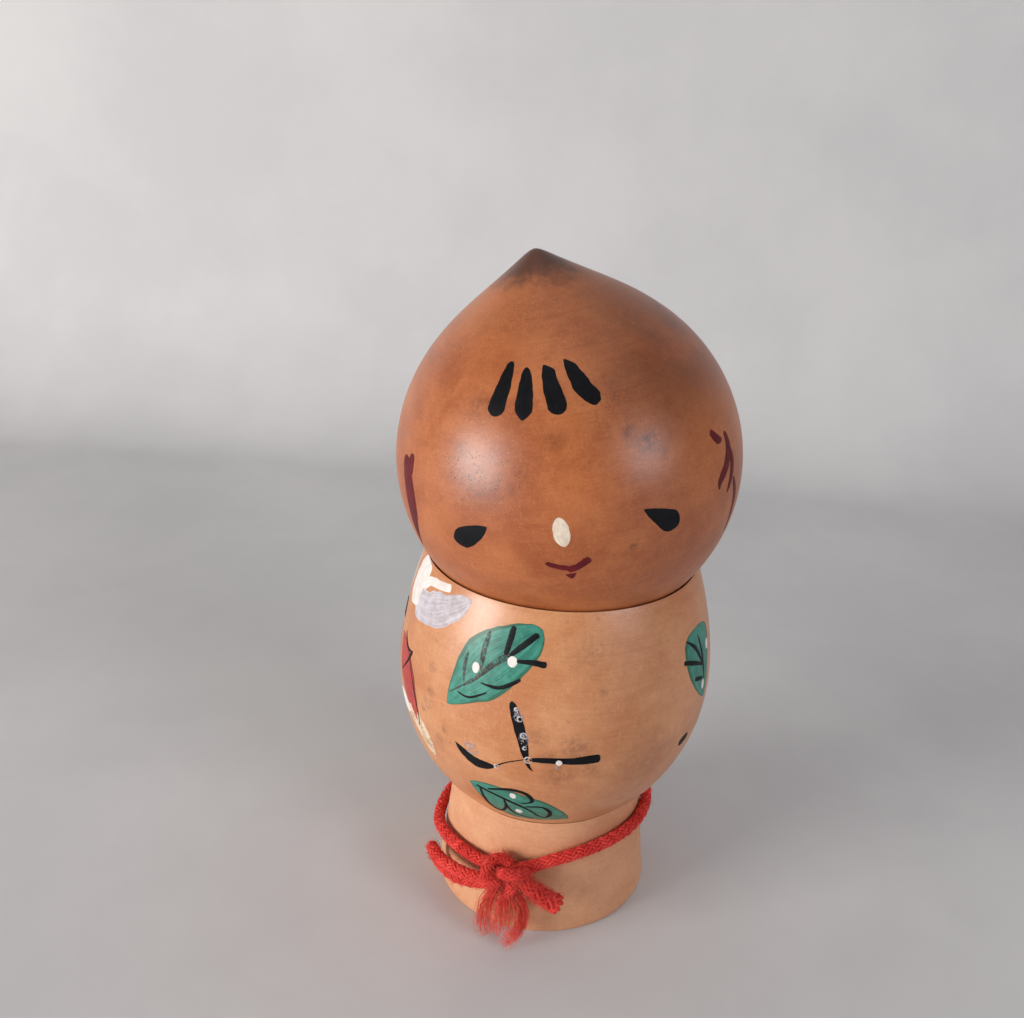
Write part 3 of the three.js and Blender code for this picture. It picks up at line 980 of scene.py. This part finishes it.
def leaf(name, line, widths, veins, dots, midrib=()):
    """A painted leaf, with its veins and dew dots over it. A dot is its place, width and height."""
    painted(name, [stroke(BALL, line, widths, FILM, steps=40, rows=14, wobble=0.025)], leaf_green, "doll")
    painted(name + "_veins",
            [stroke(BALL, points, reach, OVER, 20, 4, round_off=(0.3, 0.3)) for points, reach in veins],
            vein_black, "doll")
    if midrib:
        painted(name + "_rubbed_veins",
                [stroke(BALL, points, reach, OVER, steps=20, rows=4) for points, reach in midrib],
                rubbed_black, "doll")
    painted(name + "_dew", [
        stroke(BALL, [(lon, z - tall / 2), (lon, z), (lon, z + tall / 2)], [wide / 2] * 3, TOP, 16, 8, 0.02,
               (tall / 2, tall / 2))
        for lon, z, wide, tall in dots
    ], petal_white, "doll")


leaf("leaf_high", [(-37.8, 49.4), (-30.0, 54.2), (-22, 58.6), (-14, 62.2), (-5.6, 65.7)],
     [(0.3, 0.3), (2.7, 2.3), (4.8, 4.3), (5.5, 4.8), (4.8, 4.3), (3.3, 3.3), (1.0, 1.0)],
     [
         ([(-17.6, 60.8), (-16.6, 63.2), (-15.8, 65.5)], [0.4, 0.55, 0.45]),
         ([(-16.6, 60.6), (-11.6, 62.8), (-6.6, 64.9)], [0.3, 0.55, 0.5]),
         ([(-13.4, 60.2), (-8, 60.4), (-2.8, 60.2)], [0.3, 0.45, 0.55]),
         ([(-25.3, 55.3), (-18, 55.4), (-11.2, 57.4)], [0.12, 0.35, 0.3]),
         ([(-34.0, 52.4), (-29, 52.2), (-22.5, 54.0)], [0.12, 0.22, 0.12]),
     ],
     [(-27.9, 57.5, 1.3, 1.8), (-14.8, 60.0, 1.6, 1.8)],
     [
         ([(-37.4, 51.6), (-27.5, 55.7), (-21.2, 59.0), (-15.8, 61.0)], [0.12, 0.35, 0.6, 0.6]),
         ([(-31.8, 54.4), (-32.4, 57), (-31.8, 59.6)], [0.2, 0.35, 0.15]),
         ([(-25.9, 57.2), (-25.8, 60.4), (-24.7, 63.8)], [0.25, 0.5, 0.3]),
     ])
leaf("leaf_low", [(-30.6, 34.3), (-20, 32.9), (-8, 30.6), (2, 28.6), (11.4, 26.9)],
     [(0.3, 0.3), (2.3, 3.8), (3.6, 5.9), (4.3, 6.2), (3.8, 4.8), (2.4, 2.3), (0.15, 0.15)],
     [
         ([(-27.5, 34), (-17, 32.5), (-8, 30.5), (-1, 27.5)], [0.35, 0.4, 0.35, 0.15]),
         ([(-22.5, 34), (-13.5, 35.5), (-7, 35), (-5, 33), (-9.5, 32)], [0.25, 0.35, 0.4, 0.32, 0.15]),
         ([(-26, 33.5), (-25.5, 29.5), (-21.5, 27), (-17, 29), (-16, 31.5)], [0.3, 0.35, 0.3, 0.28, 0.2]),
         ([(-16.5, 32), (-15.5, 29.5), (-13.5, 27.8), (-10, 27), (-5, 26.5)], [0.2, 0.32, 0.32, 0.28, 0.12]),
         ([(-8, 31), (-1, 31.5), (2.5, 29.5), (0.5, 27.5), (-4.5, 28.5)], [0.2, 0.35, 0.4, 0.32, 0.12]),
     ],
     [(-12.4, 33.9, 1.1, 1.5), (-10.9, 29.0, 1.2, 1.4)])
leaf("leaf_left_side", [(65.0, 61.0), (64.8, 57.2), (66.2, 52.6), (69.4, 46.6)],
     [(3.2, 3.2), (4.8, 4.9), (4.8, 5.1), (4.2, 4.5), (2.8, 2.8), (0.4, 0.4)],
     [
         ([(54.8, 60.0), (61, 57.8), (66.4, 54.1)], [0.12, 0.4, 0.35]),
         ([(52.6, 56.6), (60, 55.2), (67.6, 53.4)], [0.4, 0.42, 0.3]),
         ([(59.7, 52.2), (63, 51.6), (66.6, 51.0)], [0.35, 0.4, 0.3]),
         ([(64, 59.6), (66.8, 55.6), (68.8, 49)], [0.12, 0.4, 0.15]),
     ],
     [(73.0, 56.0, 1.4, 2.0), (67.2, 49.6, 1.4, 1.8)])
leaf("leaf_back_high", [(128, 50.5), (137, 55), (147, 59), (160, 62.5)],
     [(0.2, 0.2), (3.6, 2.6), (4.8, 3.8), (4.2, 3.4), (0.3, 0.3)],
     [([(129, 51), (143, 57.4), (158, 62)], [0.15, 0.45, 0.3]),
      ([(138, 55.2), (137, 59), (140, 61.6)], [0.3, 0.35, 0.12]),
      ([(145, 58), (151, 57.2), (156, 57.6)], [0.3, 0.35, 0.12])],
     [(134, 55.4, 1.4, 1.9), (149, 60.8, 1.4, 1.8)])
leaf("leaf_back_low", [(168, 45), (178, 42.4), (188, 38.4), (196, 33.4)],
     [(0.2, 0.2), (3.4, 3.0), (4.2, 3.8), (3.2, 3.0), (0.2, 0.2)],
     [([(169, 44.6), (181, 41.2), (195, 34)], [0.15, 0.42, 0.2]),
      ([(178, 42), (184, 43), (190, 41.6)], [0.3, 0.32, 0.12]),
      ([(180, 41), (179, 38), (182, 36)], [0.3, 0.32, 0.12])],
     [(176, 44, 1.3, 1.8), (186, 38, 1.3, 1.7)])


# --- sprigs ---

painted("painted_sprig", [
    stroke(BALL, [(-13.6, 53.6), (-10.4, 49.6), (-8.4, 46), (-7.3, 43.2)], [0.5, 0.85, 0.85, 0.7, 0.4], FILM),
    stroke(BALL, [(-6.2, 43.4), (2, 43.6), (9, 43.6), (17.6, 43.9)], [0.35, 0.55, 0.6, 0.65, 0.85, 0.8], FILM,
           round_off=(0.3, 0.3)),
    stroke(BALL, [(-34.0, 42.7), (-29.6, 41.0), (-24.6, 40.0), (-18.4, 40.4)], [0.15, 0.75, 1.0, 0.95, 0.35],
           FILM),
    stroke(BALL, [(-18.4, 40.5), (-14, 42.0), (-7.4, 43.4)], [0.15, 0.12, 0.1], FILM),
    stroke(BALL, [(-7.2, 43.0), (-6.2, 41.8), (-4.8, 40.9)], [0.4, 0.25, 0.05], FILM),
    stroke(BALL, [(54.2, 40.3), (57.0, 40.7), (60.0, 41.0)], [0.7, 1.0, 0.7], FILM, round_off=(0.3, 0.3)),
    stroke(BALL, [(84, 42.6), (92, 44.8), (101, 49)], [0.3, 0.9, 0.2], FILM),
    stroke(BALL, [(76, 39.6), (86, 38.8), (96, 40)], [0.2, 0.8, 0.3], FILM),
    stroke(BALL, [(150, 50), (158, 47.4), (167, 45.2)], [0.2, 0.9, 0.4], FILM),
    stroke(BALL, [(200, 47), (208, 49), (217, 49)], [0.3, 0.9, 0.3], FILM),
    stroke(BALL, [(208, 49), (209, 54), (213, 58)], [0.3, 0.8, 0.3], FILM),
], black, "doll")


def ringlet(lon, z, size):
    """A small brushed ring."""
    circle = [(lon + size * 2.1 * math.cos(a), z + size * math.sin(a)) for a in np.linspace(0.3, 6.4, 9)]
    return stroke(BALL, circle, [0.08, 0.12, 0.16, 0.1, 0.06], TOP, 22, 4)


rubbed_white = paint_finish("rubbed_white_paint", color(146, 140, 148), color(206, 198, 202), 0.6, dry=0.57)
ring_white = paint_finish("ring_paint", color(170, 166, 170), color(230, 226, 224), 0.55, dry=0.47)
painted("painted_sprig_rings", [
    ringlet(-6.6, 43.3, 0.6), ringlet(-8.5, 47.9, 0.5), ringlet(-17.6, 40.6, 0.4), ringlet(-10.2, 50.8, 0.42),
    ringlet(-11.6, 52.4, 0.3), ringlet(-7.9, 45.6, 0.3),
], ring_white, "doll")
painted("painted_sprig_buds", [
    stroke(BALL, [(2.6, 43.1), (3.7, 43.2), (4.8, 43.2)], [0.5, 0.6, 0.5], TOP, 12, 8, 0.03, (0.6, 0.6)),
], petal_white, "doll")
painted("painted_sprig_dust", [
    stroke(BALL, [(-11.8, 52.6), (-10.9, 51.2), (-10.2, 50.2)], [0.5, 0.85, 0.5], TOP, 10, 6),
    stroke(BALL, [(-29.8, 43.6), (-27.4, 42.9), (-24.6, 41.9)], [0.9, 1.3, 0.9], TOP, 10, 6),
    stroke(BALL, [(2.6, 42.0), (3.6, 42.2), (4.6, 42.2)], [0.5, 0.9, 0.5], TOP, 10, 6),
    stroke(BALL, [(-9.2, 48.6), (-8.4, 47.2), (-7.6, 46)], [0.6, 0.9, 0.5], TOP - 0.01, 10, 6),
], rubbed_white, "doll")


# --- flower ---

painted("flower_grey_petal", [
    stroke(BALL, [(-69, 60.8), (-57, 62.0), (-47, 64.2), (-35.6, 67.2)],
           [(1.8, 2.0), (3.0, 2.4), (3.0, 2.9), (2.0, 2.7), (0.8, 0.8)],
           FILM, 30, 12, round_off=(1.5, 2.0)),
], petal_grey, "doll")
painted("flower_white_petals", [
    stroke(BALL, [(-66.5, 68.2), (-68.5, 65.6), (-69.5, 62.6), (-68, 60.4)],
           [(1.3, 2.6), (1.5, 4.2), (1.2, 4.6), (0.6, 2.8)], OVER, 26, 8),
    stroke(BALL, [(-67, 64.4), (-61, 66.2), (-54, 66.8), (-47.0, 67.4)], [1.2, 0.8, 0.75, 0.7], OVER, 26, 8,
           round_off=(0.6, 0.4)),
    stroke(BALL, [(-88, 59.4), (-94, 63.2), (-100, 66.2)], [0.7, 3.0, 3.6, 1.8], FILM, 26, 10),
    stroke(BALL, [(-73, 43.2), (-68, 42.0), (-62.5, 41.4)], [0.9, 1.5, 0.9], OVER, 26, 8),
    stroke(BALL, [(-91, 56.6), (-102, 56.2), (-114, 54.4)], [0.7, 3.0, 3.6, 1.8], FILM, 26, 10),
], petal_white, "doll")
painted("flower_wash", [
    stroke(BALL, [(-63, 42.4), (-57, 41.0), (-51.5, 38.6), (-48, 35.6)],
           [(2.0, 1.6), (2.6, 2.2), (2.2, 1.9), (0.6, 0.8)], FILM, 26, 10),
], petal_wash, "doll")
painted("flower_red_petals", [
    stroke(BALL, [(-76, 53.6), (-68, 50.2), (-61.6, 46.0), (-56.2, 41.2)],
           [(0.4, 0.4), (2.6, 2.6), (3.4, 3.4), (2.6, 2.4), (0.5, 0.5)],
           FILM, 30, 12),
    stroke(BALL, [(-92, 53.4), (-99, 49.2), (-106, 43.6)], [0.6, 2.8, 3.4, 0.6], FILM, 26, 10),
    stroke(BALL, [(-87.4, 52.2), (-89, 46.4), (-90, 39.6)], [0.6, 2.4, 2.8, 0.5], FILM, 26, 10),
], petal_red, "doll")
painted("flower_outlines", [
    stroke(BALL, [(-71.5, 54.9), (-67, 52.9), (-62.6, 53.0)], [0.12, 0.3, 0.2], OVER),
    stroke(BALL, [(-61.6, 53.4), (-65, 50.6), (-70.6, 47.6)], [0.4, 0.25, 0.12], OVER),
    stroke(BALL, [(-63.2, 51.4), (-57.8, 47.4), (-54.4, 42.6), (-55.4, 40.2)], [0.1, 0.16, 0.16, 0.08], OVER),
    stroke(BALL, [(-84, 58.4), (-83, 56.6), (-80, 55.2)], [0.2, 0.7, 0.3], OVER),
    stroke(BALL, [(-87.6, 57.6), (-86, 56.0), (-86.6, 54.2)], [0.3, 0.6, 0.2], OVER),
    stroke(BALL, [(-94, 51.8), (-99, 48.6), (-103, 45.2)], [0.2, 0.3, 0.12], OVER),
    stroke(BALL, [(-88, 50.2), (-89, 46.4), (-89.6, 42.2)], [0.2, 0.3, 0.12], OVER),
], black, "doll")


# --- floor, light and surroundings ---

FLOOR_SIZE = 3.0
FLOOR_MIDDLE = -1.24
WALL_HEIGHT = 1.4
SWEEP_ROUND = 0.06

bpy.ops.object.select_all(action="DESELECT")
bpy.ops.mesh.primitive_plane_add(size=FLOOR_SIZE, location=(0, FLOOR_MIDDLE, 0))
floor = bpy.context.object
floor.name = "floor"
bpy.ops.object.transform_apply(location=True, rotation=True, scale=True)


def select_back_edge():
    """Selects the floor's edge at the back, where the wall rises."""
    bpy.ops.object.mode_set(mode="OBJECT")
    back = FLOOR_MIDDLE + FLOOR_SIZE / 2
    for edge in floor.data.edges:
        ends = [floor.data.vertices[i].co for i in edge.vertices]
        edge.select = all(abs(end.y - back) < MM and abs(end.z) < MM for end in ends)
    bpy.ops.object.mode_set(mode="EDIT")


edit(floor)
bpy.ops.mesh.select_mode(type="EDGE")
bpy.ops.mesh.select_all(action="DESELECT")
select_back_edge()
bpy.ops.mesh.extrude_edges_move(TRANSFORM_OT_translate={"value": (0, 0, WALL_HEIGHT)})
select_back_edge()
bpy.ops.mesh.bevel(offset=SWEEP_ROUND, segments=24, affect="EDGES")
bpy.ops.object.mode_set(mode="OBJECT")
bpy.ops.object.shade_smooth()
sweep = Finish("pale_sweep", roughness=0.75, specular_ior_level=0.2)
dust = sweep.noise(sweep.here(), 14, 4, 0.6)
sweep.paint({
    "Base Color": sweep.mix(dust.band(0.35, 0.7), color(206, 205, 205), color(214, 213, 212)),
    "Normal": sweep.bump(sweep.noise(sweep.here(), 900, 3, 0.6), 0.02 * MM),
})
floor.data.materials.append(sweep.material)


def soft_light(name, place, aim, size, power, tint):
    """A soft box of light at a place, turned to what it lights."""
    bpy.ops.object.select_all(action="DESELECT")
    bpy.ops.object.light_add(type="AREA", location=place)
    light = bpy.context.object
    light.name = name
    light.data.shape, light.data.size, light.data.size_y = "RECTANGLE", size[0], size[1]
    light.data.energy, light.data.color = power, tint
    light.rotation_mode = "QUATERNION"
    light.rotation_quaternion = (Vector(aim) - Vector(place)).to_track_quat("-Z", "Y")


soft_light(
    "window_left", place=(-0.54, -0.34, 0.125), aim=(0, 0, 0.07), size=(0.28, 0.22), power=4.1,
    tint=(1.0, 0.97, 0.95),
)
soft_light(
    "window_right", place=(0.46, -0.38, 0.27), aim=(0, 0, 0.08), size=(0.25, 0.25), power=1.35,
    tint=(0.97, 0.94, 1.0),
)
soft_light(
    "ceiling", place=(0.0, -0.15, 1.0), aim=(0, 0, 0.0), size=(1.1, 1.1), power=1.9, tint=(1.0, 1.0, 1.0),
)
room = bpy.data.worlds.new("room")
bpy.context.scene.world = room
room.use_nodes = True
room_light = room.node_tree.nodes["Background"]
room_light.inputs["Color"].default_value = (0.86, 0.88, 0.92, 1)
room_light.inputs["Strength"].default_value = 0.13
bpy.context.scene.view_settings.view_transform = "Standard"
